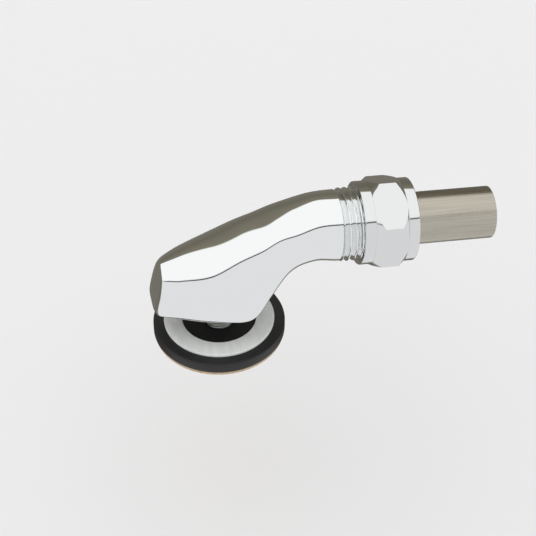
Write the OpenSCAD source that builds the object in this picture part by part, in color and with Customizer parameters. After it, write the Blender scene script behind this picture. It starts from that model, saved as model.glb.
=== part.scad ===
// Exposed urinal flush spreader with its compression nut, pipe and fixing stack.
// Millimetres. Z = 0 is the flat sole that stands on the urinal's ledge, the stud's axis is
// the Z axis, the toe points to -X and the supply pipe leaves towards +X.

/* [Body] */
// Distance from the stud's axis to the toe
toe_reach = 19.5; // [17:0.5:24]
// Height of the body at the toe
toe_h = 15.8; // [14:0.1:18]
// Width of the body at the toe
toe_w = 13.2; // [11:0.2:16]
// Lean of the toe's end face from upright, in degrees
toe_lean = 13; // [6:1:16]
// Depth of the rounding round the toe's end face
toe_rim = 1.5; // [0.8:0.1:2.4]
// Widest part of the sole
sole_w = 25.8; // [22:0.2:30]
// Height of the crown above the widest part of the sole
crown_h = 23.4; // [21.5:0.1:26]
// Distance from the stud's axis to the heel, where the sole starts to rise
heel_reach = 8; // [6.5:0.5:9.5]
// Height of the crown above the heel
heel_h = 25.3; // [23.5:0.1:27.5]

/* [Neck] */
// Outside diameter of the plain neck
neck_d = 20.3; // [19.6:0.1:21.6]
// Height of the neck's axis above the sole, taken at the stud's axis
neck_rise = 22.8; // [21:0.2:25]
// Fall of the neck towards the pipe, in degrees
neck_fall = 4; // [2:0.5:6]
// Distance along the neck's axis from the stud to the first thread
neck_len = 34; // [32:0.5:38]
// Outside diameter of the neck's thread
thread_d = 20.95; // [20:0.05:22]
// Depth of the thread's ridges
thread_depth = 1.16; // [0.8:0.02:1.3]
// Distance from one ridge of the thread to the next
thread_pitch = 1.814; // [1.2:0.001:2.4]
// Number of ridges on the neck
thread_turns = 7; // [6:1:9]
// Diameter of the water way
way_d = 8; // [6.5:0.5:8]
// Metal over the water way, measured straight down from the crown
way_cover = 3; // [2.4:0.1:3.4]

/* [Mouth] */
// Distance from the stud's axis to the middle of the mouth in the sole
mouth_reach = 11.5; // [10.5:0.5:13]
// Width of the mouth, across the body
mouth_w = 11; // [9:0.5:12]
// Length of the mouth, along the body
mouth_len = 6; // [5:0.5:7]

/* [Pipe] */
// Outside diameter of the pipe
pipe_d = 15; // [14.6:0.1:15.4]
// Wall of the pipe
pipe_wall = 0.7; // [0.5:0.1:1.2]
// Length of pipe that stands out of the nut
pipe_out = 24; // [15:1:60]
// Gap round the pipe in the neck and the nut
pipe_gap = 0.1; // [0.05:0.05:0.2]

/* [Compression nut] */
// Size of the hexagon across its flats
nut_af = 24; // [23.4:0.1:27]
// Length of the hexagon
nut_hex = 9.6; // [8:0.2:13]
// Length of each round collar
nut_collar = 3.1; // [2:0.1:4]
// Diameter of the round collars
collar_d = 23.8; // [23.2:0.1:24.4]
// Length of thread that shows between the body and the nut
nut_back = 5.9; // [3.5:0.1:6.5]
// Gap between the nut's bore and the neck's thread
nut_gap = 0.12; // [0.05:0.01:0.2]

/* [Olive] */
// Length of the olive
olive_len = 5.6; // [4.5:0.1:7]
// Thickness of the olive
olive_t = 1.2; // [0.9:0.1:1.4]
// Gap between the olive and what it seats on
olive_gap = 0.05; // [0.02:0.01:0.1]

/* [Fixing stack] */
// Gap between the sole and the stack, which the urinal's ledge fills
ledge_gap = 8.8; // [5:0.2:14]
// Diameter of the white washer
poly_d = 32.2; // [28:0.2:36]
// Hole of the white washer
poly_hole = 21.6; // [12:0.2:24]
// Thickness of the white washer
poly_t = 0.9; // [0.6:0.1:2]
// Diameter of the rubber washer
rubber_d = 38.4; // [36:0.2:44]
// Thickness of the rubber washer
rubber_t = 3.2; // [2:0.1:5]
// How far the fibre washer's edge lies inside the rubber's
fibre_inset = 0.3; // [0:0.1:4]
// Thickness of the fibre washer
fibre_t = 1; // [0.6:0.1:2]
// Gap round the stud in the washers
washer_gap = 0.25; // [0.1:0.05:0.5]

/* [Stud and backnut] */
// Diameter of the stud
stud_d = 8; // [6:0.5:8]
// Depth of the stud in the sole
stud_in = 7; // [5:0.5:7.5]
// Length of stud that stands out of the backnut
stud_out = 2; // [1:0.5:6]
// Gap round the stud in the sole and the backnut
stud_gap = 0.05; // [0.02:0.01:0.1]
// Size of the backnut's hexagon across its flats
backnut_af = 15; // [13:0.5:19]
// Height of the backnut's hexagon
backnut_h = 6; // [4:0.5:8]
// Diameter of the backnut's flange
flange_d = 20; // [18:0.5:24]
// Thickness of the backnut's flange
flange_t = 1.5; // [1:0.1:3]

/* [Hidden] */
$fn = 96;

fibre_d = rubber_d - 2 * fibre_inset;

// Heights of the stack's faces, from the sole down
poly_top = -ledge_gap;
rubber_top = poly_top - poly_t;
fibre_top = rubber_top - rubber_t;
backnut_top = fibre_top - fibre_t;
stud_end = backnut_top - flange_t - backnut_h - stud_out;

// Positions along the neck's axis
thread_end = neck_len + (thread_turns + 0.5) * thread_pitch;
nut_start = neck_len + nut_back;
hex_start = nut_start + nut_collar;
hex_end = hex_start + nut_hex;
nut_end = hex_end + nut_collar;
pipe_end = nut_end + pipe_out;
socket_stop = neck_len;

// Radii round the neck's axis
root_r = thread_d / 2 - thread_depth;
pipe_r = pipe_d / 2;
socket_r = pipe_r + pipe_gap;
olive_r = pipe_r + olive_t;
nut_bore_r = thread_d / 2 + nut_gap;
// The olive's cones are 45 degrees and leave this much flat end face
olive_face = 0.35;
olive_cone = olive_t - olive_face;
cone_seat = olive_r + olive_gap - socket_r;
olive_start = thread_end - olive_cone;
olive_end = olive_start + olive_len;
chamber_end = olive_end - olive_cone + olive_gap;
nut_chamfer = 2.4;
backnut_chamfer = 0.8;
mouth_bevel = 0.6;
collar_chamfer = 0.3;
stud_chamfer = 0.8;
// Plain bore past the end of the neck's thread, and how far a cut runs past what it cuts
nut_relief = 0.3;
past = 1;

// Body sections: [sole x, rise of the sole, height, half width, height share of the widest
// point, roundness of the crown, roundness of the sole], 2 being round and 5 nearly square.
// The casting is sole_trim deeper than the finished sole, which is cut flat.
sole_trim = 0.3;
toe_rib = [-toe_reach, -sole_trim, toe_h + sole_trim, toe_w / 2, 0.43, 1.96, 5];
mid_rib = [2, -sole_trim, crown_h + sole_trim, sole_w / 2, 0.05, 2.6, 5];
heel_rib = [heel_reach, -sole_trim, heel_h + sole_trim, 0.975 * sole_w / 2, 0.06, 2.8, 5];
neck_axis = [neck_len * cos(neck_fall), neck_rise - neck_len * sin(neck_fall)];
neck_rib = [
  neck_axis[0] - neck_d / 2 * sin(neck_fall), neck_axis[1] - neck_d / 2 * cos(neck_fall),
  neck_d, neck_d / 2, 0.5, 2, 2
];
ribs = [
  toe_rib,
  between(toe_rib, mid_rib, 0.25, [0, 0, 0.1, 1.15, 0.09, -0.12, 0]),
  between(toe_rib, mid_rib, 0.63, [0, 0, -0.5, 1.75, 0.05, -0.11, 0]),
  mid_rib,
  heel_rib,
  between(heel_rib, neck_rib, 0.2, [0, 0.6, 0.3, -1.05, 0.17, 0.06, -1.6]),
  between(heel_rib, neck_rib, 0.44, [0, 4.9, -3.5, -1.3, 0.23, -0.33, -1.43]),
  between(heel_rib, neck_rib, 0.72, [0, 4, -2.3, -0.9, 0.12, -0.27, -0.84]),
  neck_rib
];
ring_count = 30;
ring_points = 48;
rim_rings = 4;
// Narrowing of the toe's end face at each side, at the crown and at the sole
rim_inset = [1.9, 0.3, 1.7];

// A rib between two others, a share t of the way, with what it bulges by
function between(a, b, t, bulge) = a + (b - a) * t + bulge;

function slope(i) =
  let (a = ribs[max(i - 1, 0)], b = ribs[min(i + 1, len(ribs) - 1)])
  (b - a) / (b[0] - a[0]);

// Section of the body at a place x along the sole, on a smooth curve through the ribs
function rib_at(x) =
  let (
    i = max([for (k = [0 : len(ribs) - 2]) if (x >= ribs[k][0] || k == 0) k]),
    h = ribs[i + 1][0] - ribs[i][0],
    t = (x - ribs[i][0]) / h,
    m0 = slope(i),
    m1 = i == len(ribs) - 2 ? [1, -tan(neck_fall), 0, 0, 0, 0, 0] : slope(i + 1)
  )
  (2 * t^3 - 3 * t^2 + 1) * ribs[i] + (t^3 - 2 * t^2 + t) * h * m0
  + (3 * t^2 - 2 * t^3) * ribs[i + 1] + (t^3 - t^2) * h * m1;

// The same section drawn in by a share k of the toe's rim
function drawn_in(rib, k) = [
  rib[0], rib[1] + k * rim_inset[2], rib[2] - k * (rim_inset[1] + rim_inset[2]),
  rib[3] - k * rim_inset[0], rib[4], rib[5], rib[6]
];

function power(v, n) = sign(v) * pow(abs(v), 2 / n);

function lean_at(x) =
  toe_lean + (neck_fall - toe_lean) * (x + toe_reach) / (neck_rib[0] + toe_reach);

// Place of the crown over a rib
function crown_over(rib) =
  [rib[0] + rib[2] * sin(lean_at(rib[0])), rib[1] + rib[2] * cos(lean_at(rib[0]))];

function ring(rib, x) = [
  for (k = [0 : ring_points - 1])
    let (
      a = 360 * k / ring_points,
      n = sin(a) >= 0 ? rib[5] : rib[6],
      reach = sin(a) >= 0 ? 1 - rib[4] : rib[4],
      up = rib[2] * (rib[4] + reach * power(sin(a), n)),
      lean = lean_at(x)
    )
    [x + up * sin(lean), rib[3] * power(cos(a), n), rib[1] + up * cos(lean)]
];

rings = concat(
  [for (k = [0 : rim_rings - 1])
    let (x = -toe_reach + toe_rim * (1 - cos(90 * k / rim_rings)))
    ring(drawn_in(rib_at(x), 1 - sin(90 * k / rim_rings)), x)],
  [for (k = [0 : ring_count])
    let (x0 = -toe_reach + toe_rim, x = x0 + (neck_rib[0] - x0) * k / ring_count)
    ring(rib_at(x), x)]
);

module loft(rings) {
  n = len(rings[0]);
  last = len(rings) - 1;
  polyhedron(
    points = [for (r = rings) each r],
    faces = concat(
      [[for (k = [0 : n - 1]) k]],
      [[for (k = [n - 1 : -1 : 0]) last * n + k]],
      [for (i = [0 : last - 1], k = [0 : n - 1])
        let (a = i * n + k, b = i * n + (k + 1) % n) each [[a, a + n, b], [b, a + n, b + n]]]
    )
  );
}

// Turns a shape drawn along +Z so that it runs along the neck's axis, s from the stud's axis
module on_neck(s = 0) {
  translate([0, 0, neck_rise]) rotate([0, 90 + neck_fall, 0]) translate([0, 0, s]) children();
}

module hexagon(af, h, chamfer) {
  corner_r = af / sqrt(3);
  intersection() {
    cylinder(r = corner_r, h = h, $fn = 6);
    rotate_extrude() polygon([
      [0, 0], [af / 2, 0], [corner_r, chamfer], [corner_r, h - chamfer], [af / 2, h], [0, h]
    ]);
  }
}

module threaded_spigot() {
  start = 4;
  on_neck(neck_len - start) rotate_extrude() polygon(concat(
    [[0, 0], [root_r, 0]],
    [for (k = [0 : thread_turns - 1])
      let (z = start + (k + 0.5) * thread_pitch)
      each [
        [root_r, z - 0.42 * thread_pitch], [thread_d / 2, z - 0.08 * thread_pitch],
        [thread_d / 2, z + 0.08 * thread_pitch], [root_r, z + 0.42 * thread_pitch]
      ]],
    [[root_r, start + thread_end - neck_len], [0, start + thread_end - neck_len]]
  ));
}

// Chamber that bends from the neck down to the mouth, passing over the stud
module water_way() {
  r = way_d / 2;
  swell = 0.4;
  toe = crown_over(ribs[1]) - [0, way_cover + r];
  bend = crown_over(heel_rib) - [0, way_cover + r];
  for (leg = [[toe, bend], [bend, neck_axis]]) {
    // The chamber is a little wider where it turns
    run = leg[1] - leg[0];
    translate([leg[0][0], 0, leg[0][1]]) {
      sphere(r = r + swell);
      rotate([0, atan2(run[0], run[1]), 0]) cylinder(r = r, h = norm(run) + past);
    }
  }
}

module mouth() {
  half = (mouth_w - mouth_len) / 2;
  h = past + stud_in + past;
  translate([-mouth_reach, 0, -past]) {
    for (side = [-1, 1]) translate([0, side * half, 0]) cylinder(d = mouth_len, h = h);
    translate([-mouth_len / 2, -half, 0]) cube([mouth_len, 2 * half, h]);
  }
}

module spreader_body() {
  color("gainsboro") difference() {
    union() {
      loft(rings);
      threaded_spigot();
    }
    on_neck(socket_stop) cylinder(r = socket_r, h = thread_end - socket_stop + past);
    on_neck(thread_end - cone_seat)
      cylinder(r1 = socket_r, r2 = socket_r + cone_seat + past, h = cone_seat + past);
    water_way();
    mouth();
    translate([0, 0, -past]) cylinder(d = stud_d + 2 * stud_gap, h = past + stud_in + stud_gap);
    translate([-toe_reach - past, -sole_w, -past]) cube([toe_reach + neck_len, 2 * sole_w, past]);
  }
}

module compression_nut() {
  length = nut_end - nut_start;
  chamber = chamber_end - nut_start;
  collar_r = collar_d / 2;
  color("silver") on_neck(nut_start) difference() {
    union() {
      rotate_extrude() polygon([
        [0, 0], [collar_r - collar_chamfer, 0], [collar_r, collar_chamfer],
        [collar_r, length - collar_chamfer], [collar_r - collar_chamfer, length], [0, length]
      ]);
      translate([0, 0, nut_collar]) hexagon(nut_af, nut_hex, nut_chamfer);
    }
    translate([0, 0, -past])
      cylinder(r = nut_bore_r, h = past + thread_end + nut_relief - nut_start);
    translate([0, 0, -mouth_bevel])
      cylinder(r1 = nut_bore_r + 2 * mouth_bevel, r2 = nut_bore_r, h = 2 * mouth_bevel);
    cylinder(r = olive_r + olive_gap, h = chamber);
    translate([0, 0, chamber]) cylinder(r1 = socket_r + cone_seat, r2 = socket_r, h = cone_seat);
    cylinder(r = socket_r, h = length + past);
  }
}

module olive() {
  color("goldenrod") on_neck(olive_start) rotate_extrude() polygon([
    [pipe_r + olive_gap, 0], [olive_r - olive_cone, 0], [olive_r, olive_cone],
    [olive_r, olive_len - olive_cone], [olive_r - olive_cone, olive_len],
    [pipe_r + olive_gap, olive_len]
  ]);
}

module supply_pipe() {
  color("tan") on_neck(socket_stop + pipe_gap) difference() {
    cylinder(r = pipe_r, h = pipe_end - socket_stop - pipe_gap);
    translate([0, 0, -past])
      cylinder(r = pipe_r - pipe_wall, h = pipe_end - socket_stop + 2 * past);
  }
}

module fixing_stud() {
  r = stud_d / 2;
  color("gray") rotate_extrude() polygon([
    [0, stud_end], [r - stud_chamfer, stud_end], [r, stud_end + stud_chamfer],
    [r, stud_in - stud_chamfer], [r - stud_chamfer, stud_in], [0, stud_in]
  ]);
}

module washer(d, hole, t, top) {
  translate([0, 0, top - t]) difference() {
    cylinder(d = d, h = t);
    translate([0, 0, -past]) cylinder(d = hole, h = t + 2 * past);
  }
}

module polythene_washer() {
  color("white") washer(poly_d, poly_hole, poly_t, poly_top);
}

module rubber_washer() {
  color("dimgray") washer(rubber_d, stud_d + 2 * washer_gap, rubber_t, rubber_top);
}

module fibre_washer() {
  color("burlywood") washer(fibre_d, stud_d + 2 * washer_gap, fibre_t, fibre_top);
}

module backnut() {
  color("gold") difference() {
    union() {
      translate([0, 0, backnut_top - flange_t]) cylinder(d = flange_d, h = flange_t);
      translate([0, 0, backnut_top - flange_t - backnut_h])
        hexagon(backnut_af, backnut_h + flange_t / 2, backnut_chamfer);
    }
    translate([0, 0, stud_end]) cylinder(d = stud_d + 2 * stud_gap, h = backnut_top - stud_end + past);
  }
}

spreader_body();
compression_nut();
olive();
supply_pipe();
fixing_stud();
polythene_washer();
rubber_washer();
fibre_washer();
backnut();
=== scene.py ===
"""Looks of an exposed urinal flush spreader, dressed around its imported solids.

Lengths are metres in the frame of the solids: Z = 0 is the flat sole, the stud's axis is the
Z axis, the toe points to -X and the supply pipe leaves towards +X. Sizes of single pieces are
written in millimetres and turned to metres by MM.
"""

import logging
import math
from dataclasses import dataclass, field
from enum import Enum
from typing import Any, Callable, Iterable, Sequence

import bmesh
import bpy
from mathutils import Matrix, Vector


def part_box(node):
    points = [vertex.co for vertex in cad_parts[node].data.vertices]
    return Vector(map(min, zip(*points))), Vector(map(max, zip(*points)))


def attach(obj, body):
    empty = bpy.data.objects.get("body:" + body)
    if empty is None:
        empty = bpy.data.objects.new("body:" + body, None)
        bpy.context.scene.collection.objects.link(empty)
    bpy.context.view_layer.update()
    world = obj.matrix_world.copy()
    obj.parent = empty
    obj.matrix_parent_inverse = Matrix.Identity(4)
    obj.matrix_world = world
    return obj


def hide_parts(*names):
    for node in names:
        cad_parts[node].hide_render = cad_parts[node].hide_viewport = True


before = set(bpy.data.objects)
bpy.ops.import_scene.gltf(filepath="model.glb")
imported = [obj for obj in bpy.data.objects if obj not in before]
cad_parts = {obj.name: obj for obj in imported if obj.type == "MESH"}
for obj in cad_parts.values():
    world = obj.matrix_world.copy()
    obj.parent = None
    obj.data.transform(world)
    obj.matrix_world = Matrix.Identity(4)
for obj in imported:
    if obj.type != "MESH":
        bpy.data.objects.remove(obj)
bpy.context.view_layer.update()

MM = 0.001
BODY = "root"
log = logging.getLogger("flush_spreader")

Outline = list[tuple[float, float]]
Colour = tuple[float, float, float, float]


def linear(code: str) -> Colour:
    """Turns an sRGB hex colour into linear values.

    Args:
        code: six hex digits, such as "C8CACB".

    Returns:
        Red, green, blue and alpha, linear.
    """
    values = [int(code[i : i + 2], 16) / 255 for i in (0, 2, 4)]
    parts = [v / 12.92 if v <= 0.04045 else ((v + 0.055) / 1.055) ** 2.4 for v in values]
    return (parts[0], parts[1], parts[2], 1.0)


def add_node(tree: bpy.types.NodeTree, kind: str, settings: dict[str, Any] | None = None,
             **inputs: Any) -> bpy.types.Node:
    """Adds a node, sets its properties and fills or links its inputs.

    Args:
        tree: the node tree that gets the node.
        kind: the node's type.
        settings: properties of the node.
        **inputs: input sockets by name, with _ for a space, or i0, i1 and so on by place.

    Returns:
        The new node.
    """
    node = tree.nodes.new(kind)
    for key, value in (settings or {}).items():
        setattr(node, key, value)
    for key, value in inputs.items():
        by_place = key[0] == "i" and key[1:].isdigit()
        socket = node.inputs[int(key[1:])] if by_place else node.inputs[key.replace("_", " ")]
        if isinstance(value, bpy.types.NodeSocket):
            tree.links.new(value, socket)
        else:
            socket.default_value = value
    return node


class Axis(Enum):
    """What a turned piece or a pattern is centred on."""

    STUD = "stud"
    NECK = "neck"


@dataclass(frozen=True)
class NeckLine:
    """The neck's axis, which the thread, nut, olive and pipe share."""

    rise: float = 22.8 * MM
    fall: float = math.radians(4)
    length: float = 34.0 * MM

    def matrix(self, s: float = 0.0) -> Matrix:
        """Places a piece drawn along +Z on the neck's axis, s metres from the stud's axis."""
        turn = Matrix.Rotation(math.pi / 2 + self.fall, 4, "Y")
        return Matrix.Translation((0, 0, self.rise)) @ turn @ Matrix.Translation((0, 0, s))


NECK = NeckLine()


# Mesh tools

def rounded(corners: Sequence[tuple[float, float, float]], steps: int = 5) -> Outline:
    """Rounds the corners of a closed outline.

    Args:
        corners: radius, height and rounding of each corner, in order.
        steps: segments in each rounded corner.

    Returns:
        The outline's points.
    """
    points: Outline = []
    count = len(corners)
    for i, (r, z, size) in enumerate(corners):
        here = Vector((r, z))
        if size <= 0:
            points.append((r, z))
            continue
        before = (Vector(corners[i - 1][:2]) - here).normalized()
        after = (Vector(corners[(i + 1) % count][:2]) - here).normalized()
        half = before.angle(after) / 2
        reach = size / math.tan(half)
        centre = here + (before + after).normalized() * size / math.sin(half)
        start = here + before * reach - centre
        end = here + after * reach - centre
        sweep = start.angle_signed(end)
        for k in range(steps + 1):
            turned = start.copy()
            turned.rotate(Matrix.Rotation(-sweep * k / steps, 2))
            points.append((centre.x + turned.x, centre.y + turned.y))
    return points


def from_rings(name: str, rings: Sequence[Sequence[Sequence[float]]], closed: bool) -> bpy.types.Object:
    """Skins a row of rings that have as many points each.

    Args:
        name: the new object's name.
        rings: the rings' points.
        closed: True if the last ring joins the first, and False to cap both ends.

    Returns:
        The new mesh object, with its faces outwards.
    """
    mesh = bpy.data.meshes.new(name)
    n = len(rings[0])
    count = len(rings)
    faces = [
        (i * n + k, i * n + (k + 1) % n, (i + 1) % count * n + (k + 1) % n, (i + 1) % count * n + k)
        for i in range(count if closed else count - 1) for k in range(n)
    ]
    if not closed:
        faces.append(tuple(range(n - 1, -1, -1)))
        faces.append(tuple((count - 1) * n + k for k in range(n)))
    mesh.from_pydata([tuple(p) for ring in rings for p in ring], [], faces)
    piece = bpy.data.objects.new(name, mesh)
    bpy.context.scene.collection.objects.link(piece)
    tidy(piece)
    return piece


def tidy(piece: bpy.types.Object, sharp: float = 32.0) -> None:
    """Merges doubles, points the faces outwards and shades them smooth up to an angle.

    Args:
        piece: the mesh object.
        sharp: angle of the edges that stay sharp, in degrees.
    """
    mesh = piece.data
    work = bmesh.new()
    work.from_mesh(mesh)
    bmesh.ops.remove_doubles(work, verts=work.verts, dist=1e-7)
    bmesh.ops.dissolve_degenerate(work, edges=work.edges, dist=1e-8)
    bmesh.ops.recalc_face_normals(work, faces=work.faces)
    work.to_mesh(mesh)
    work.free()
    mesh.shade_smooth()
    mesh.set_sharp_from_angle(angle=math.radians(sharp))


def turned(name: str, outline: Outline, place: Matrix, segments: int = 128) -> bpy.types.Object:
    """Turns a closed outline round an axis, as on a lathe.

    Args:
        name: the new object's name.
        outline: radius and height of each point; radius 0 closes on the axis.
        place: where the axis goes, as a matrix for a piece drawn along +Z.
        segments: segments in a turn.

    Returns:
        The turned piece.
    """
    rings = [
        [(r * math.cos(a), r * math.sin(a), z) for r, z in outline]
        for a in (math.tau * k / segments for k in range(segments))
    ]
    piece = from_rings(name, rings, closed=True)
    piece.data.transform(place)
    return piece


def rod(name: str, start: Vector, end: Vector, radius: float, extra: float) -> bpy.types.Object:
    """A round bar between two points, which runs on past the second by extra."""
    run = end - start
    place = Matrix.Translation(start) @ run.to_track_quat("Z", "Y").to_matrix().to_4x4()
    height = run.length + extra
    return turned(name, [(0, 0), (radius, 0), (radius, height), (0, height)], place, 96)


def ball(name: str, centre: Vector, radius: float) -> bpy.types.Object:
    """A ball, turned from a half circle."""
    steps = 32
    arc = [(radius * math.sin(math.pi * k / steps), -radius * math.cos(math.pi * k / steps))
           for k in range(steps + 1)]
    arc[0] = (0.0, -radius)
    arc[-1] = (0.0, radius)
    return turned(name, arc, Matrix.Translation(centre), 64)


def drop(piece: bpy.types.Object) -> None:
    """Deletes a helper object with its mesh."""
    mesh = piece.data
    bpy.data.objects.remove(piece)
    bpy.data.meshes.remove(mesh)


def freeze(piece: bpy.types.Object) -> None:
    """Turns what a piece's modifiers make into its own mesh, and removes the modifiers."""
    graph = bpy.context.evaluated_depsgraph_get()
    result = bpy.data.meshes.new_from_object(piece.evaluated_get(graph))
    old = piece.data
    piece.modifiers.clear()
    piece.data = result
    result.name = piece.name
    bpy.data.meshes.remove(old)


def combine(piece: bpy.types.Object, others: Iterable[bpy.types.Object], operation: str) -> None:
    """Joins helper solids to a piece or cuts them from it, and deletes them.

    Args:
        piece: the solid that changes.
        others: the helper solids.
        operation: "UNION" or "DIFFERENCE".
    """
    helpers = list(others)
    for other in helpers:
        cut = piece.modifiers.new("cut", "BOOLEAN")
        cut.operation = operation
        cut.solver = "MANIFOLD"
        cut.object = other
        if other.data.materials:
            cut.material_mode = "TRANSFER"
    freeze(piece)
    for other in helpers:
        drop(other)


# Geometry Nodes: a screw thread

THREAD_INPUTS = {
    "Length": "NodeSocketFloat", "Lead": "NodeSocketFloat", "Crest Radius": "NodeSocketFloat",
    "Root Radius": "NodeSocketFloat", "Pitch": "NodeSocketFloat", "Run Out": "NodeSocketFloat",
    "Phase": "NodeSocketFloat", "Rings": "NodeSocketInt", "Segments": "NodeSocketInt",
    "Material": "NodeSocketMaterial",
}


def thread_tree() -> bpy.types.NodeTree:
    """Builds the node tree of a round-crested screw thread that runs along +Z.

    A sheet of quads is rolled into a tube whose radius rises and falls with the helix. It fades
    into the root over Run Out at both ends, after a plain Lead at the first one.

    Returns:
        The node tree.
    """
    tree = bpy.data.node_groups.new("screw_thread", "GeometryNodeTree")
    for name, kind in THREAD_INPUTS.items():
        tree.interface.new_socket(name, in_out="INPUT", socket_type=kind)
    tree.interface.new_socket("Geometry", in_out="OUTPUT", socket_type="NodeSocketGeometry")
    given = tree.nodes.new("NodeGroupInput").outputs

    def maths(operation: str, *values: Any) -> bpy.types.NodeSocket:
        """Adds a Math node and returns its output."""
        places = {f"i{i}": v for i, v in enumerate(values)}
        return add_node(tree, "ShaderNodeMath", {"operation": operation}, **places).outputs[0]

    columns = add_node(tree, "ShaderNodeMath", {"operation": "ADD"}, i0=given["Segments"], i1=1.0)
    sheet = add_node(tree, "GeometryNodeMeshGrid", Size_X=1.0, Size_Y=1.0,
                     Vertices_X=given["Rings"], Vertices_Y=columns.outputs[0])
    place = add_node(tree, "GeometryNodeInputPosition").outputs[0]
    split = add_node(tree, "ShaderNodeSeparateXYZ", i0=place).outputs
    along = maths("MULTIPLY", maths("ADD", split[0], 0.5), given["Length"])
    angle = maths("MULTIPLY", maths("ADD", split[1], 0.5), math.tau)
    turns = maths("DIVIDE", maths("SUBTRACT", along, given["Phase"]), given["Pitch"])
    wave = maths("COSINE", maths("SUBTRACT", maths("MULTIPLY", turns, math.tau), angle))
    height = maths("MULTIPLY_ADD", wave, 0.5, 0.5)
    from_lead = maths("SUBTRACT", along, given["Lead"])
    to_end = maths("SUBTRACT", given["Length"], along)
    fade = add_node(tree, "ShaderNodeMapRange", {"interpolation_type": "SMOOTHSTEP"},
                    Value=maths("MINIMUM", from_lead, to_end), From_Min=0.0,
                    From_Max=given["Run Out"], To_Min=0.0, To_Max=1.0).outputs[0]
    depth = maths("SUBTRACT", given["Crest Radius"], given["Root Radius"])
    radius = maths("ADD", given["Root Radius"], maths("MULTIPLY", depth, maths("MULTIPLY", height, fade)))
    rolled = add_node(tree, "ShaderNodeCombineXYZ", X=maths("MULTIPLY", radius, maths("COSINE", angle)),
                      Y=maths("MULTIPLY", radius, maths("SINE", angle)), Z=along)
    tube = add_node(tree, "GeometryNodeSetPosition", Geometry=sheet.outputs[0],
                    Position=rolled.outputs[0])
    disc = add_node(tree, "GeometryNodeMeshCircle", {"fill_type": "NGON"},
                    Vertices=given["Segments"], Radius=given["Root Radius"])
    lift = add_node(tree, "ShaderNodeCombineXYZ", Z=given["Length"])
    lid = add_node(tree, "GeometryNodeTransform", Geometry=disc.outputs[0],
                   Translation=lift.outputs[0])
    joined = tree.nodes.new("GeometryNodeJoinGeometry")
    for part in (tube, disc, lid):
        tree.links.new(part.outputs[0], joined.inputs[0])
    welded = add_node(tree, "GeometryNodeMergeByDistance", Geometry=joined.outputs[0], Distance=1e-6)
    real = add_node(tree, "GeometryNodeRealizeInstances", Geometry=welded.outputs[0])
    dressed = add_node(tree, "GeometryNodeSetMaterial", Geometry=real.outputs[0],
                       Material=given["Material"])
    add_node(tree, "NodeGroupOutput", Geometry=dressed.outputs[0])
    return tree


@dataclass(frozen=True)
class Thread:
    """A parallel thread: its sizes, and how far it fades at its ends."""

    crest: float
    root: float
    pitch: float
    run_out: float
    segments: int = 128
    rings_a_turn: int = 14

    def make(self, name: str, length: float, place: Matrix, finish: bpy.types.Material,
             lead: float = 0.0, phase: float = 0.0, clearance: float = 0.0) -> bpy.types.Object:
        """Makes a threaded bar, or the cutter for a tapped hole if it has a clearance.

        Args:
            name: the new object's name.
            length: the bar's length.
            place: where it goes, as a matrix for a bar drawn along +Z.
            finish: its material.
            lead: plain length before the thread starts.
            phase: place of a crest along the bar.
            clearance: what is added to the radii.

        Returns:
            The bar.
        """
        piece = bpy.data.objects.new(name, bpy.data.meshes.new(name))
        bpy.context.scene.collection.objects.link(piece)
        nodes = piece.modifiers.new("thread", "NODES")
        nodes.node_group = bpy.data.node_groups.get("screw_thread") or thread_tree()
        values = {
            "Length": length, "Lead": lead, "Crest Radius": self.crest + clearance,
            "Root Radius": self.root + clearance, "Pitch": self.pitch, "Run Out": self.run_out,
            "Phase": phase, "Rings": max(int(length / self.pitch * self.rings_a_turn), 8),
            "Segments": self.segments, "Material": finish,
        }
        for item in nodes.node_group.interface.items_tree:
            if item.in_out == "INPUT":
                nodes[item.identifier] = values[item.name]
        freeze(piece)
        tidy(piece, 60.0)
        piece.data.transform(place)
        return piece


# Finishes

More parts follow.
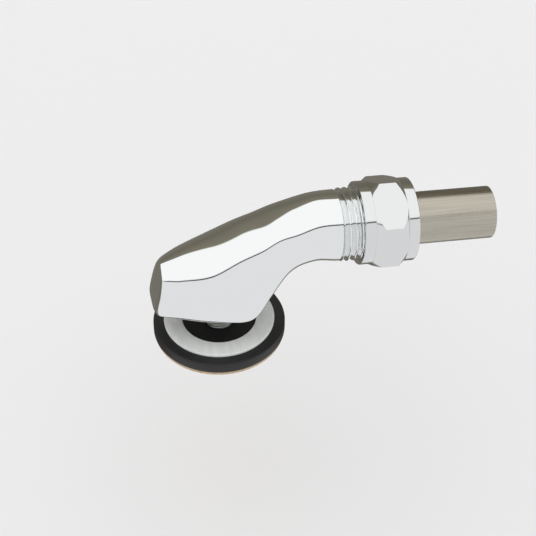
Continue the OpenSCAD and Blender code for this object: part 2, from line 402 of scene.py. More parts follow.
@dataclass(frozen=True)
class Finish:
    """A material's name, a slot name that is not used, colour and gloss."""

    name: str
    slot: str
    colour: str
    roughness: float
    metallic: float = 0.0

    def material(self) -> bpy.types.Material:
        """Returns the material, built once."""
        made = bpy.data.materials.get(self.name)
        if made:
            return made
        made = bpy.data.materials.new(self.name)
        made.use_nodes = True
        tree = made.node_tree
        tree.nodes.clear()
        shader = add_node(tree, "ShaderNodeBsdfPrincipled", Metallic=self.metallic,
                          Roughness=self.roughness, Base_Color=linear(self.colour))
        add_node(tree, "ShaderNodeOutputMaterial", Surface=shader.outputs[0])
        self.detail(tree, shader)
        made.diffuse_color = linear(self.colour)
        return made

    def detail(self, tree: bpy.types.NodeTree, shader: bpy.types.Node) -> None:
        """Adds the surface's own pattern; the plain finish has none."""

    def place(self, tree: bpy.types.NodeTree, axis: Axis = Axis.STUD) -> bpy.types.NodeSocket:
        """Object coordinates, turned so that their Z runs along an axis.

        Args:
            tree: the material's node tree.
            axis: the axis.

        Returns:
            The coordinates' socket.
        """
        source = add_node(tree, "ShaderNodeTexCoord").outputs["Object"]
        if axis is Axis.STUD:
            return source
        turn = add_node(tree, "ShaderNodeMapping", {"vector_type": "TEXTURE"}, Vector=source,
                        Location=(0, 0, NECK.rise), Rotation=(0, math.pi / 2 + NECK.fall, 0))
        return turn.outputs[0]

    def grain(self, tree: bpy.types.NodeTree, where: bpy.types.NodeSocket, size: float,
              stretch: tuple[float, float, float] = (1, 1, 1), detail: float = 3.0) -> bpy.types.NodeSocket:
        """Noise of a real size.

        Args:
            tree: the material's node tree.
            where: the coordinates.
            size: size of a grain, in metres.
            stretch: how many grains fit in that size along each axis.
            detail: octaves of finer noise.

        Returns:
            The noise's value.
        """
        drawn = add_node(tree, "ShaderNodeMapping", Vector=where, Scale=stretch)
        noise = add_node(tree, "ShaderNodeTexNoise", Vector=drawn.outputs[0], Scale=1 / size,
                         Detail=detail)
        return noise.outputs["Fac"]

    def vary(self, tree: bpy.types.NodeTree, value: bpy.types.NodeSocket,
             low: float, high: float) -> bpy.types.NodeSocket:
        """Maps noise to a range of numbers and returns the socket."""
        return add_node(tree, "ShaderNodeMapRange", Value=value, From_Min=0.3, From_Max=0.7,
                        To_Min=low, To_Max=high).outputs[0]

    def tint(self, tree: bpy.types.NodeTree, value: bpy.types.NodeSocket,
             low: str, high: str) -> bpy.types.NodeSocket:
        """Maps noise to a run of colours between two hex codes and returns the socket."""
        ramp = add_node(tree, "ShaderNodeValToRGB", Fac=value)
        ramp.color_ramp.elements[0].position = 0.3
        ramp.color_ramp.elements[0].color = linear(low)
        ramp.color_ramp.elements[1].position = 0.7
        ramp.color_ramp.elements[1].color = linear(high)
        return ramp.outputs[0]

    def bump(self, tree: bpy.types.NodeTree, shader: bpy.types.Node, height: bpy.types.NodeSocket,
             depth: float, strength: float = 1.0) -> None:
        """Raises the surface by a pattern.

        Args:
            tree: the material's node tree.
            shader: the shader that gets the normal.
            height: the pattern.
            depth: its height, in metres.
            strength: share of it that shows.
        """
        raised = add_node(tree, "ShaderNodeBump", Height=height, Distance=depth, Strength=strength)
        tree.links.new(raised.outputs[0], shader.inputs["Normal"])


@dataclass(frozen=True)
class ChromiumPlate(Finish):
    """Bright chromium plate: mirror-like, with what the buffing wheel left under it."""

    axis: Axis = Axis.NECK
    wave: float = 0.0000012
    haze: tuple[float, float] = (0.03, 0.07)

    def detail(self, tree: bpy.types.NodeTree, shader: bpy.types.Node) -> None:
        """Buffing leaves shallow waves of about 3 mm, and faint haze where it ran dry."""
        where = self.place(tree, self.axis)
        haze = self.grain(tree, where, 2.5 * MM, (1.0, 1.0, 0.35), 4.0)
        tree.links.new(self.vary(tree, haze, *self.haze), shader.inputs["Roughness"])
        wave = self.grain(tree, where, 3.2 * MM, (1.0, 1.0, 0.6), 1.0)
        self.bump(tree, shader, wave, self.wave)


@dataclass(frozen=True)
class SatinTube(Finish):
    """Drawn tube, satin finished along its length."""

    def detail(self, tree: bpy.types.NodeTree, shader: bpy.types.Node) -> None:
        """Lines of 0.05 mm run along the tube; they are drawn at 0.25 mm so that they show."""
        where = self.place(tree, Axis.NECK)
        lines = self.grain(tree, where, 0.25 * MM, (1.0, 1.0, 0.012), 2.0)
        tree.links.new(self.tint(tree, lines, "A7A296", "BDB8AB"), shader.inputs["Base Color"])
        tree.links.new(self.vary(tree, lines, 0.20, 0.32), shader.inputs["Roughness"])
        self.bump(tree, shader, lines, 0.000004)


@dataclass(frozen=True)
class MouldedRubber(Finish):
    """Black moulded rubber with a faint bloom."""

    def detail(self, tree: bpy.types.NodeTree, shader: bpy.types.Node) -> None:
        """The mould's blasted face leaves a grain of 0.3 mm, and bloom greys it in patches."""
        where = self.place(tree)
        bloom = self.grain(tree, where, 6.0 * MM, (1, 1, 1), 5.0)
        tree.links.new(self.tint(tree, bloom, "0E0E0F", "19191A"), shader.inputs["Base Color"])
        tree.links.new(self.vary(tree, bloom, 0.42, 0.55), shader.inputs["Roughness"])
        self.bump(tree, shader, self.grain(tree, where, 0.3 * MM), 0.000012)


@dataclass(frozen=True)
class CutPolythene(Finish):
    """White polythene sheet, punched to a ring."""

    def detail(self, tree: bpy.types.NodeTree, shader: bpy.types.Node) -> None:
        """Soft sheet picks up fine scuffs of about 1.5 mm and isn't quite flat."""
        where = self.place(tree)
        scuffs = self.grain(tree, where, 1.5 * MM, (1.0, 0.3, 1.0), 6.0)
        tree.links.new(self.tint(tree, scuffs, "E2E5E3", "EEF0EE"), shader.inputs["Base Color"])
        tree.links.new(self.vary(tree, scuffs, 0.34, 0.5), shader.inputs["Roughness"])
        self.bump(tree, shader, scuffs, 0.000010)


@dataclass(frozen=True)
class PressedFibre(Finish):
    """Tan fibre sheet, pressed from rag pulp."""

    def detail(self, tree: bpy.types.NodeTree, shader: bpy.types.Node) -> None:
        """Fibres about 0.4 mm across fleck the sheet, lying in its plane."""
        where = self.place(tree)
        flecks = self.grain(tree, where, 0.9 * MM, (1.0, 1.0, 3.0), 8.0)
        tree.links.new(self.tint(tree, flecks, "A98F72", "D6C2A6"), shader.inputs["Base Color"])
        self.bump(tree, shader, self.grain(tree, where, 0.4 * MM, (1, 1, 3)), 0.000025)


@dataclass(frozen=True)
class TurnedMetal(Finish):
    """Metal straight from the lathe, with feed lines round it."""

    axis: Axis = Axis.STUD
    feed: float = 0.35 * MM
    dark: str = "8F6E34"
    light: str = "BF9A58"

    def detail(self, tree: bpy.types.NodeTree, shader: bpy.types.Node) -> None:
        """The tool's feed is about 0.1 mm; its lines are drawn wider so that they show."""
        where = self.place(tree, self.axis)
        feed = self.grain(tree, where, self.feed, (0.02, 0.02, 1.0), 2.0)
        patches = self.grain(tree, where, 4.0 * MM, (1, 1, 1), 5.0)
        tree.links.new(self.tint(tree, patches, self.dark, self.light), shader.inputs["Base Color"])
        tree.links.new(self.vary(tree, feed, self.roughness - 0.06, self.roughness + 0.1),
                       shader.inputs["Roughness"])
        self.bump(tree, shader, feed, 0.000006)


@dataclass(frozen=True)
class CastMetal(Finish):
    """Brass as it left the sand core, inside the body."""

    def detail(self, tree: bpy.types.NodeTree, shader: bpy.types.Node) -> None:
        """Sand grains of about 0.35 mm print the wall, and it tarnishes in patches."""
        where = self.place(tree)
        patches = self.grain(tree, where, 3.0 * MM, (1, 1, 1), 6.0)
        tree.links.new(self.tint(tree, patches, "6B532C", "9A7A45"), shader.inputs["Base Color"])
        self.bump(tree, shader, self.grain(tree, where, 0.35 * MM), 0.00006)


BODY_CHROME = ChromiumPlate("polished_chromium_plate", "body_chrome", "E7E9E9", 0.05, 1.0)
NUT_CHROME = ChromiumPlate("turned_chromium_plate", "nut_chrome", "DCDDDD", 0.08, 1.0,
                           wave=0.0000010, haze=(0.06, 0.11))
SATIN_TUBE = SatinTube("satin_drawn_tube", "satin_pipe", "B2ADA0", 0.26, 1.0)
BLACK_RUBBER = MouldedRubber("moulded_black_rubber", "black_rubber", "141415", 0.5)
WHITE_POLYTHENE = CutPolythene("punched_white_polythene", "white_polythene", "E9EBE9", 0.42)
TAN_FIBRE = PressedFibre("pressed_tan_fibre", "tan_fibre", "BFA98B", 0.85)
TURNED_BRASS = TurnedMetal("turned_brass", "brass", "B08C4C", 0.24, 1.0)
ZINC_STEEL = TurnedMetal("zinc_plated_steel", "stud_steel", "9C9D97", 0.3, 1.0,
                         dark="85877F", light="A9ABA4")
CAST_BRASS = CastMetal("sand_cast_brass", "brass", "86693A", 0.55, 1.0)


def dress(piece: bpy.types.Object, finish: Finish, node: str) -> None:
    """Gives a piece its finish, hides the CAD node it stands for and hangs it on the body it rides on.

    Args:
        piece: the finished piece.
        finish: its finish.
        node: the CAD node's name.
    """
    if not piece.data.materials:
        piece.data.materials.append(finish.material())
    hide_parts(node)
    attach(piece, BODY)
    log.info("%s: %d faces, %s", piece.name, len(piece.data.polygons), finish.name)


# The casting

Rib = tuple[float, ...]


@dataclass
class SpreaderBody:
    """The cast body: toe, crown, heel and neck, with the water way through them."""

    toe_reach: float = 19.5
    toe_h: float = 15.8
    toe_w: float = 13.2
    toe_lean: float = 13.0
    toe_rim: float = 1.5
    rim_inset: tuple[float, float, float] = (1.9, 0.3, 1.7)
    sole_w: float = 25.8
    sole_trim: float = 0.3
    crown_h: float = 23.4
    heel_reach: float = 8.0
    heel_h: float = 25.3
    neck_d: float = 20.3
    thread_d: float = 20.95
    thread_depth: float = 1.16
    thread_pitch: float = 1.814
    thread_turns: int = 7
    way_d: float = 8.0
    way_cover: float = 3.0
    mouth_reach: float = 11.5
    mouth_w: float = 11.0
    mouth_len: float = 6.0
    socket_r: float = 7.6
    olive_r: float = 8.7
    seat_gap: float = 0.05
    stud_hole_r: float = 4.05
    stud_in: float = 7.05
    ring_count: int = 150
    rim_rings: int = 12
    ring_points: int = 144
    ribs: list[Rib] = field(default_factory=list)

    def __post_init__(self) -> None:
        """Works out the sections that the body's skin passes through."""
        trim = self.sole_trim
        fall = NECK.fall
        toe = (-self.toe_reach, -trim, self.toe_h + trim, self.toe_w / 2, 0.43, 1.96, 5.0)
        mid = (2.0, -trim, self.crown_h + trim, self.sole_w / 2, 0.05, 2.6, 5.0)
        heel = (self.heel_reach, -trim, self.heel_h + trim, 0.975 * self.sole_w / 2, 0.06, 2.8, 5.0)
        end_x = NECK.length / MM * math.cos(fall) - self.neck_d / 2 * math.sin(fall)
        end_z = (NECK.rise - NECK.length * math.sin(fall)) / MM - self.neck_d / 2 * math.cos(fall)
        neck = (end_x, end_z, self.neck_d, self.neck_d / 2, 0.5, 2.0, 2.0)
        self.ribs = [
            toe,
            self.between(toe, mid, 0.25, (0, 0, 0.1, 1.15, 0.09, -0.12, 0)),
            self.between(toe, mid, 0.63, (0, 0, -0.5, 1.75, 0.05, -0.11, 0)),
            mid,
            heel,
            self.between(heel, neck, 0.2, (0, 0.6, 0.3, -1.05, 0.17, 0.06, -1.6)),
            self.between(heel, neck, 0.44, (0, 4.9, -3.5, -1.3, 0.23, -0.33, -1.43)),
            self.between(heel, neck, 0.72, (0, 4.0, -2.3, -0.9, 0.12, -0.27, -0.84)),
            neck,
        ]

    @staticmethod
    def between(a: Rib, b: Rib, t: float, bulge: Sequence[float]) -> Rib:
        """A rib between two others, a share t of the way, with what it bulges by."""
        return tuple(p + (q - p) * t + extra for p, q, extra in zip(a, b, bulge))

    def slope(self, i: int) -> Rib:
        """How fast a rib's values change along the sole."""
        if i == len(self.ribs) - 1:
            return (1.0, -math.tan(NECK.fall), 0.0, 0.0, 0.0, 0.0, 0.0)
        a = self.ribs[max(i - 1, 0)]
        b = self.ribs[i + 1]
        return tuple((q - p) / (b[0] - a[0]) for p, q in zip(a, b))

    def rib_at(self, x: float) -> Rib:
        """The section at a place along the sole, on a smooth curve through the ribs."""
        i = max(k for k in range(len(self.ribs) - 1) if x >= self.ribs[k][0] or k == 0)
        a, b = self.ribs[i], self.ribs[i + 1]
        h = b[0] - a[0]
        t = (x - a[0]) / h
        m0, m1 = self.slope(i), self.slope(i + 1)
        return tuple(
            (2 * t**3 - 3 * t**2 + 1) * a[k] + (t**3 - 2 * t**2 + t) * h * m0[k]
            + (3 * t**2 - 2 * t**3) * b[k] + (t**3 - t**2) * h * m1[k]
            for k in range(len(a))
        )

    def drawn_in(self, rib: Rib, share: float) -> Rib:
        """The same section, drawn in by a share of the toe's rim."""
        side, crown, sole = (share * v for v in self.rim_inset)
        return (rib[0], rib[1] + sole, rib[2] - crown - sole, rib[3] - side, *rib[4:])

    def lean_at(self, x: float) -> float:
        """How far a section leans from upright, in radians."""
        fall = math.degrees(NECK.fall)
        share = (x + self.toe_reach) / (self.ribs[-1][0] + self.toe_reach)
        return math.radians(self.toe_lean + (fall - self.toe_lean) * share)

    def ring(self, rib: Rib, x: float) -> list[tuple[float, float, float]]:
        """The points of a section: an egg between round and square, on a leaning chord.

        Args:
            rib: the section's values.
            x: its place along the sole.

        Returns:
            Its points, in metres.
        """
        lean = self.lean_at(x)
        _, rise, height, half, share, crown_n, sole_n = rib
        points = []
        for k in range(self.ring_points):
            a = math.tau * k / self.ring_points
            n = crown_n if math.sin(a) >= 0 else sole_n
            reach = 1 - share if math.sin(a) >= 0 else share
            up = height * (share + reach * self.power(math.sin(a), n))
            out = half * self.power(math.cos(a), n)
            points.append((MM * (x + up * math.sin(lean)), MM * out, MM * (rise + up * math.cos(lean))))
        return points

    @staticmethod
    def power(v: float, n: float) -> float:
        """A signed power, which squares or rounds a circle's sine and cosine."""
        return math.copysign(abs(v) ** (2 / n), v)

    def crown_over(self, rib: Rib) -> Vector:
        """Place of the crown over a rib."""
        lean = self.lean_at(rib[0])
        return Vector((rib[0] + rib[2] * math.sin(lean), 0, rib[1] + rib[2] * math.cos(lean))) * MM

    def skin(self) -> bpy.types.Object:
        """Lofts the outer skin and cuts its sole flat.

        Returns:
            The closed skin.
        """
        rings = []
        for k in range(self.rim_rings):
            turn = math.pi / 2 * k / self.rim_rings
            x = -self.toe_reach + self.toe_rim * (1 - math.cos(turn))
            rings.append(self.ring(self.drawn_in(self.rib_at(x), 1 - math.sin(turn)), x))
        start = -self.toe_reach + self.toe_rim
        for k in range(self.ring_count + 1):
            x = start + (self.ribs[-1][0] - start) * k / self.ring_count
            rings.append(self.ring(self.rib_at(x), x))
        skin = from_rings("spreader_casting", rings, closed=False)
        work = bmesh.new()
        work.from_mesh(skin.data)
        parts = work.verts[:] + work.edges[:] + work.faces[:]
        cut = bmesh.ops.bisect_plane(work, geom=parts, plane_co=(0, 0, 0), plane_no=(0, 0, -1),
                                     clear_outer=True, dist=1e-8)
        rim = [e for e in cut["geom_cut"] if isinstance(e, bmesh.types.BMEdge)]
        bmesh.ops.contextual_create(work, geom=rim)
        work.to_mesh(skin.data)
        work.free()
        tidy(skin)
        return skin

    def hollows(self) -> list[bpy.types.Object]:
        """The water way, mouth, stud hole and pipe socket, as solids to cut out."""
        r = self.way_d / 2 * MM
        drop_by = Vector((0, 0, (self.way_cover + self.way_d / 2) * MM))
        toe = self.crown_over(self.ribs[1]) - drop_by
        bend = self.crown_over(self.ribs[4]) - drop_by
        stop = NECK.matrix(NECK.length) @ Vector()
        swell = 0.4 * MM
        cuts = [
            rod("way_low", toe, bend, r, MM), rod("way_high", bend, stop, r, MM),
            ball("way_toe", toe, r + swell), ball("way_bend", bend, r + swell),
        ]
        cuts.append(self.mouth())
        hole = rounded([(0, -1 * MM, 0), (self.stud_hole_r * MM, -1 * MM, 0),
                        (self.stud_hole_r * MM, self.stud_in * MM, 0), (0, (self.stud_in + 1.2) * MM, 0)])
        cuts.append(turned("stud_hole", hole, Matrix(), 96))
        end = self.thread_end() - NECK.length
        seat = self.olive_r + self.seat_gap - self.socket_r
        socket = [(0, 0), (self.socket_r * MM, 0), (self.socket_r * MM, end - seat * MM),
                  ((self.socket_r + seat + 1) * MM, end + MM), (0, end + MM)]
        cuts.append(turned("socket", socket, NECK.matrix(NECK.length), 128))
        for cut in cuts:
            cut.data.materials.append(CAST_BRASS.material())
        return cuts

    def mouth(self) -> bpy.types.Object:
        """The slot in the sole that the water leaves by, with round ends."""
        r = self.mouth_len / 2
        half = (self.mouth_w - self.mouth_len) / 2
        steps = 24
        loop = []
        for side in (1, -1):
            for k in range(steps + 1):
                a = math.pi * k / steps + (0 if side > 0 else math.pi)
                loop.append((-self.mouth_reach + r * math.cos(a), side * half + r * math.sin(a)))
        rings = [[(x * MM, y * MM, z * MM) for x, y in loop] for z in (-1.0, self.stud_in + 0.95)]
        return from_rings("mouth_slot", rings, closed=False)

    def thread_end(self) -> float:
        """Place of the neck's end along its axis."""
        return NECK.length + (self.thread_turns + 0.5) * self.thread_pitch * MM

    def thread(self) -> Thread:
        """The neck's thread, with Whitworth's depth and round crests."""
        crest = self.thread_d / 2 * MM
        return Thread(crest, crest - self.thread_depth * MM, self.thread_pitch * MM, 0.9 * MM)

    def build(self) -> None:
        """Makes the body and dresses it."""
        body = self.skin()
        body.data.materials.append(BODY_CHROME.material())
        lead = 2 * MM
        start = NECK.length - lead
        spigot = self.thread().make("neck_spigot", self.thread_end() - start, NECK.matrix(start),
                                    BODY_CHROME.material(), lead, lead + 0.9 * MM)
        combine(body, [spigot], "UNION")
        combine(body, self.hollows(), "DIFFERENCE")
        tidy(body)
        dress(body, BODY_CHROME, "spreader_body")


# The compression joint

@dataclass
class CompressionJoint:
    """The nut, olive and pipe on the neck's thread."""

    body: SpreaderBody
    across_flats: float = 24.0
    hex_len: float = 9.6
    hex_chamfer: float = 2.4
    collar_len: float = 3.1
    collar_r: float = 11.9
    nut_back: float = 5.9
    bore_r: float = 7.6
    relief: float = 0.3
    olive_len: float = 5.6
    olive_cone: float = 0.85
    olive_face: float = 0.35
    pipe_r: float = 7.5
    pipe_wall: float = 0.7
    pipe_out: float = 24.0

    def nut_start(self) -> float:
        """Place of the nut's first face along the neck."""
        return NECK.length + self.nut_back * MM

    def nut_len(self) -> float:
        """Whole length of the nut."""
        return (self.hex_len + 2 * self.collar_len) * MM

    def build(self) -> None:
        """Makes the three pieces and dresses them."""
        self.nut()
        self.olive()
        self.pipe()

    def nut(self) -> None:
        """The hexagon nut, with a round collar each side and a tapped bore."""
        place = NECK.matrix(self.nut_start())
        total = self.nut_len() / MM
        edge = 0.28
        collars = turned("nut_collars", [(r * MM, z * MM) for r, z in rounded([
            (0, 0, 0), (self.collar_r, 0, edge), (self.collar_r, total, edge), (0, total, 0),
        ])], place, 160)
        hexagon = self.hexagon("compression_nut_shell", self.across_flats, self.hex_len,
                               self.hex_chamfer, 0.35)
        hexagon.data.transform(place @ Matrix.Translation((0, 0, self.collar_len * MM)))
        hexagon.data.materials.append(NUT_CHROME.material())
        combine(hexagon, [collars], "UNION")
        combine(hexagon, self.nut_bore(), "DIFFERENCE")
        tidy(hexagon, 25.0)
        dress(hexagon, NUT_CHROME, "compression_nut")

    def nut_bore(self) -> list[bpy.types.Object]:
        """What is cut from the nut: its thread, the olive's chamber and the pipe's hole."""
        start = self.nut_start()
        thread_end = self.body.thread_end()
        thread = self.body.thread()
        before = MM
        tapped = thread.make("nut_thread", thread_end + self.relief * MM - start + before,
                             NECK.matrix(start - before), TURNED_BRASS.material(),
                             phase=NECK.length + 0.9 * MM - (start - before), clearance=0.08 * MM)
        wide = thread.crest + 0.12 * MM
        seat_r = (self.body.olive_r + self.body.seat_gap) * MM
        chamber = self.olive_start() + (self.olive_len - self.olive_cone + self.body.seat_gap) * MM - start
        bore = self.bore_r * MM
        cone = seat_r - bore
        end = self.nut_len() + MM
        chamber_cut = turned("nut_chamber", [
            (0, 0), (seat_r, 0), (seat_r, chamber), (bore, chamber + cone), (bore, end), (0, end),
        ], NECK.matrix(start), 128)
        bevel = 0.6 * MM
        mouth = turned("nut_mouth", [
            (0, -bevel), (wide + 2 * bevel, -bevel), (wide - 1.3 * MM, 1.9 * MM), (0, 1.9 * MM),
        ], NECK.matrix(start), 160)
        relief = turned("nut_relief", [
            (0, 0), (wide, 0), (wide, 1.2 * MM), (0, 1.2 * MM),
        ], NECK.matrix(thread_end + self.relief * MM - 1.2 * MM), 160)
        mouth.data.materials.append(NUT_CHROME.material())
        for cut in (chamber_cut, relief):
            cut.data.materials.append(TURNED_BRASS.material())
        return [tapped, chamber_cut, mouth, relief]

    @staticmethod
    def hexagon(name: str, across: float, length: float, chamfer: float,
                corner_round: float) -> bpy.types.Object:
        """A hexagon bar with turned chamfers, whose edge curves down each flat.

        Args:
            name: the new object's name.
            across: size across the flats, in millimetres.
            length: its length.
            chamfer: length of the chamfer at a corner.
            corner_round: radius of the long corners.

        Returns:
            The bar, drawn along +Z.
        """
        flat = across / 2
        corner = across / math.sqrt(3)
        centre = (flat - corner_round) / math.cos(math.pi / 6)
        turn = math.atan2(corner_round / 2, centre + corner_round * math.cos(math.pi / 6))
        angles = []
        for side in range(6):
            base = math.pi / 3 * side
            angles += [base - turn + 2 * turn * k / 6 for k in range(6)]
            angles += [base + turn + (math.pi / 3 - 2 * turn) * k / 20 for k in range(20)]
        columns = []
        for a in angles:
            off = (a + math.pi / 6) % (math.pi / 3) - math.pi / 6
            if abs(off) < turn:
                r = centre * math.cos(off) + math.sqrt(corner_round**2 - (centre * math.sin(off)) ** 2)
            else:
                r = flat / math.cos(math.pi / 6 - abs(off))
            rise = (r - flat) * chamfer / (corner - flat) + 0.02
            inner = flat - 0.015
            columns.append([
                (q * math.cos(a) * MM, q * math.sin(a) * MM, z * MM)
                for q, z in ((inner, 0), (r, rise), (r, length - rise), (inner, length))
            ])
        rings = [[column[i] for column in columns] for i in range(4)]
        bar = from_rings(name, rings, closed=False)
        work = bmesh.new()
        work.from_mesh(bar.data)
        creases = [e for e in work.edges if e.is_manifold and math.degrees(e.calc_face_angle()) > 25]
        bmesh.ops.bevel(work, geom=creases, offset=0.11 * MM, segments=3, profile=0.5,
                        affect="EDGES", clamp_overlap=True)
        work.to_mesh(bar.data)
        work.free()
        tidy(bar)
        return bar

    def olive_start(self) -> float:
        """Place of the olive's first face along the neck."""
        return self.body.thread_end() - self.olive_cone * MM

    def olive(self) -> None:
        """The brass ring that the nut squeezes on to the pipe, with a cone each side."""
        r = self.body.olive_r
        inner = self.pipe_r + 0.05
        low = r - self.olive_cone
        length = self.olive_len
        outline = rounded([
            (inner, 0, 0.05), (low, 0, 0.08), (r, self.olive_cone, 0.3),
            (r, length - self.olive_cone, 0.3), (low, length, 0.08), (inner, length, 0.05),
        ])
        ring = turned("brass_olive", [(q * MM, z * MM) for q, z in outline],
                      NECK.matrix(self.olive_start()))
        dress(ring, TURNED_BRASS, "olive")

    def pipe(self) -> None:
        """The tube, cut square and deburred at both ends."""
        start = NECK.length + 0.1 * MM
        length = (self.nut_start() + self.nut_len() + self.pipe_out * MM - start) / MM
        inner = self.pipe_r - self.pipe_wall
        outline = rounded([
            (inner, 0, 0.12), (self.pipe_r, 0, 0.22),
            (self.pipe_r, length, 0.22), (inner, length, 0.12),
        ])
        tube = turned("satin_tube", [(r * MM, z * MM) for r, z in outline], NECK.matrix(start), 192)
        dress(tube, SATIN_TUBE, "supply_pipe")


# The fixing

@dataclass
class FixingStack:
    """The stud, the washers that clamp the ledge and the nut under them."""

    stud_r: float = 4.0
    stud_pitch: float = 1.25
    stud_depth: float = 0.72
    nut_across: float = 15.0
    nut_chamfer: float = 0.8
    flange_t: float = 1.5

    def build(self) -> None:
        """Makes the five pieces and dresses them."""
        self.stud()
        self.washer("polythene_washer", "white_ring", WHITE_POLYTHENE, 10.8, 0.22)
        self.washer("rubber_washer", "rubber_disc", BLACK_RUBBER, 4.25, 0.35)
        self.washer("fibre_washer", "fibre_disc", TAN_FIBRE, 4.25, 0.10)
        self.backnut()

    def thread(self) -> Thread:
        """The stud's thread."""
        crest = self.stud_r * MM
        return Thread(crest, crest - self.stud_depth * MM, self.stud_pitch * MM, 1.2 * MM, 64, 10)

    def stud(self) -> None:
        """The screwed stud, from inside the sole to below the nut."""
        low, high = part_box("fixing_stud")
        bar = self.thread().make("screwed_stud", high.z - low.z, Matrix.Translation((0, 0, low.z)),
                                 ZINC_STEEL.material())
        dress(bar, ZINC_STEEL, "fixing_stud")

    def washer(self, node: str, name: str, finish: Finish, hole_r: float, edge: float) -> None:
        """A flat ring with eased edges.

        Args:
            node: the CAD node that gives its size and place.
            name: the new object's name.
            finish: its finish.
            hole_r: radius of its hole, in millimetres.
            edge: rounding of its edges, in millimetres.
        """
        low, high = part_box(node)
        outer = (high.x - low.x) / 2 / MM
        bottom, top = low.z / MM, high.z / MM
        outline = rounded([
            (hole_r, bottom, edge), (outer, bottom, edge), (outer, top, edge), (hole_r, top, edge),
        ])
        ring = turned(name, [(r * MM, z * MM) for r, z in outline], Matrix(), 192)
        dress(ring, finish, node)

    def backnut(self) -> None:
        """The flanged brass nut, tapped through."""
        low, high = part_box("backnut")
        height = (high.z - low.z) / MM
        flange_r = (high.x - low.x) / 2 / MM
        nut = CompressionJoint.hexagon("flanged_backnut", self.nut_across,
                                       height - self.flange_t / 2, self.nut_chamfer, 0.3)
        nut.data.transform(Matrix.Translation((0, 0, low.z)))
        nut.data.materials.append(TURNED_BRASS.material())
        base = height - self.flange_t
        flange = turned("flange", [(r * MM, z * MM) for r, z in rounded([
            (0, base, 0), (flange_r, base, 0.3), (flange_r, height, 0.15), (0, height, 0),
        ])], Matrix.Translation((0, 0, low.z)))
        combine(nut, [flange], "UNION")
        tapped = self.thread().make("backnut_thread", high.z - low.z + 2 * MM,
                                    Matrix.Translation((0, 0, low.z - MM)),
                                    TURNED_BRASS.material(), clearance=0.04 * MM,
                                    phase=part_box("fixing_stud")[0].z - low.z + MM)
        combine(nut, [tapped], "DIFFERENCE")
        tidy(nut, 25.0)
        dress(nut, TURNED_BRASS, "backnut")


# The studio

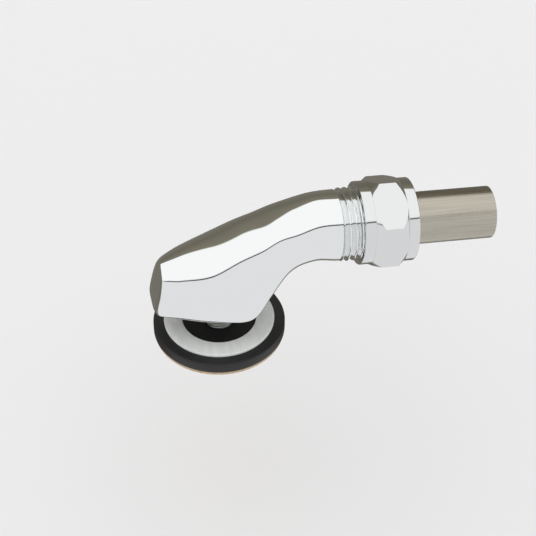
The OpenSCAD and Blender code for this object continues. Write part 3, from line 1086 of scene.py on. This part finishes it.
@dataclass
class Studio:
    """Pale floor, soft overhead light and the camera."""

    azimuth: float = math.radians(-11.85)
    elevation: float = math.radians(42.84)
    distance: float = 0.5
    lens: float = 115.0
    aim_right: float = 14.27 * MM
    aim_up: float = 14.59 * MM
    floor_z: float = -0.075
    floor_size: float = 6.0

    def build(self) -> None:
        """Makes the floor, the light and the camera."""
        self.floor()
        self.light()
        self.camera()
        scene = bpy.context.scene
        scene.view_settings.view_transform = "Standard"

    def floor(self) -> None:
        """A plain pale floor that takes the object's soft shadow."""
        half = self.floor_size / 2
        mesh = bpy.data.meshes.new("floor")
        corners = [(-half, -half), (half, -half), (half, half), (-half, half)]
        mesh.from_pydata([(x, y, self.floor_z) for x, y in corners], [], [(0, 1, 2, 3)])
        floor = bpy.data.objects.new("floor", mesh)
        bpy.context.scene.collection.objects.link(floor)
        paper = bpy.data.materials.new("matt_paper")
        paper.use_nodes = True
        tree = paper.node_tree
        tree.nodes.clear()
        shader = add_node(tree, "ShaderNodeBsdfDiffuse", Color=linear("F4F4F5"))
        add_node(tree, "ShaderNodeOutputMaterial", Surface=shader.outputs[0])
        mesh.materials.append(paper)
        floor.visible_glossy = False

    def light(self) -> None:
        """Soft light all round: a broad white screen overhead, pale walls and a dim far side.

        The screens' edges run along X, so the sky's colour follows the angle round that axis.
        """
        world = bpy.data.worlds.new("studio")
        bpy.context.scene.world = world
        world.use_nodes = True
        tree = world.node_tree
        tree.nodes.clear()
        way = add_node(tree, "ShaderNodeTexCoord").outputs["Generated"]
        split = add_node(tree, "ShaderNodeSeparateXYZ", i0=way).outputs
        front = add_node(tree, "ShaderNodeMath", {"operation": "MULTIPLY"}, i0=split[1], i1=-1.0)
        angle = add_node(tree, "ShaderNodeMath", {"operation": "ARCTAN2"}, i0=split[2],
                         i1=front.outputs[0])
        start = math.radians(-110)
        turn = add_node(tree, "ShaderNodeMath", {"operation": "SUBTRACT"}, i0=angle.outputs[0], i1=start)
        share = add_node(tree, "ShaderNodeMath", {"operation": "DIVIDE"}, i0=turn.outputs[0], i1=math.tau)
        whole = add_node(tree, "ShaderNodeMath", {"operation": "WRAP"}, i0=share.outputs[0], i1=1.0, i2=0.0)
        ramp = add_node(tree, "ShaderNodeValToRGB", Fac=whole.outputs[0])
        stops = [
            (-110, "6A675F"), (-98, "E5E5E6"), (36.5, "E5E5E6"), (37.5, "131515"), (40.0, "131515"),
            (41.5, "FFFFFF"), (131.5, "FFFFFF"), (134.0, "7F7B6C"), (160.0, "6B675C"),
            (200.0, "77736B"), (249.9, "6A675F"),
        ]
        bands = ramp.color_ramp.elements
        while len(bands) > 1:
            bands.remove(bands[-1])
        for i, (degrees, code) in enumerate(stops):
            place = (degrees + 110) / 360
            stop = bands[0] if i == 0 else bands.new(place)
            stop.position = place
            stop.color = linear(code)
        sky = add_node(tree, "ShaderNodeBackground", Color=ramp.outputs[0], Strength=1.15)
        seen = add_node(tree, "ShaderNodeBackground", Color=linear("E5E5E6"), Strength=1.0)
        eye = add_node(tree, "ShaderNodeLightPath").outputs["Is Camera Ray"]
        mixed = add_node(tree, "ShaderNodeMixShader", i0=eye, i1=sky.outputs[0], i2=seen.outputs[0])
        add_node(tree, "ShaderNodeOutputWorld", Surface=mixed.outputs[0])

    def camera(self) -> None:
        """Puts the camera where the photograph was taken from."""
        a, e = self.azimuth, self.elevation
        back = Vector((math.sin(a) * math.cos(e), -math.cos(a) * math.cos(e), math.sin(e)))
        right = Vector((math.cos(a), math.sin(a), 0))
        up = back.cross(right)
        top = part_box("rubber_washer")[1].z
        aim = Vector((0, 0, top)) + right * self.aim_right + up * self.aim_up
        lens = bpy.data.cameras.new("camera")
        lens.lens = self.lens
        lens.sensor_width = 36.0
        lens.clip_start = 0.01
        eye = bpy.data.objects.new("camera", lens)
        eye.matrix_world = Matrix.Translation(aim + back * self.distance) @ Matrix(
            (right, up, back)).transposed().to_4x4()
        bpy.context.scene.collection.objects.link(eye)
        bpy.context.scene.camera = eye


def main() -> None:
    """Builds the pieces in order, then the studio."""
    logging.basicConfig(level=logging.INFO, format="%(name)s: %(message)s")
    body = SpreaderBody()
    builders: list[Callable[[], None]] = [
        body.build, CompressionJoint(body).build, FixingStack().build, Studio().build,
    ]
    for build in builders:
        build()


if __name__ == "__main__":
    main()
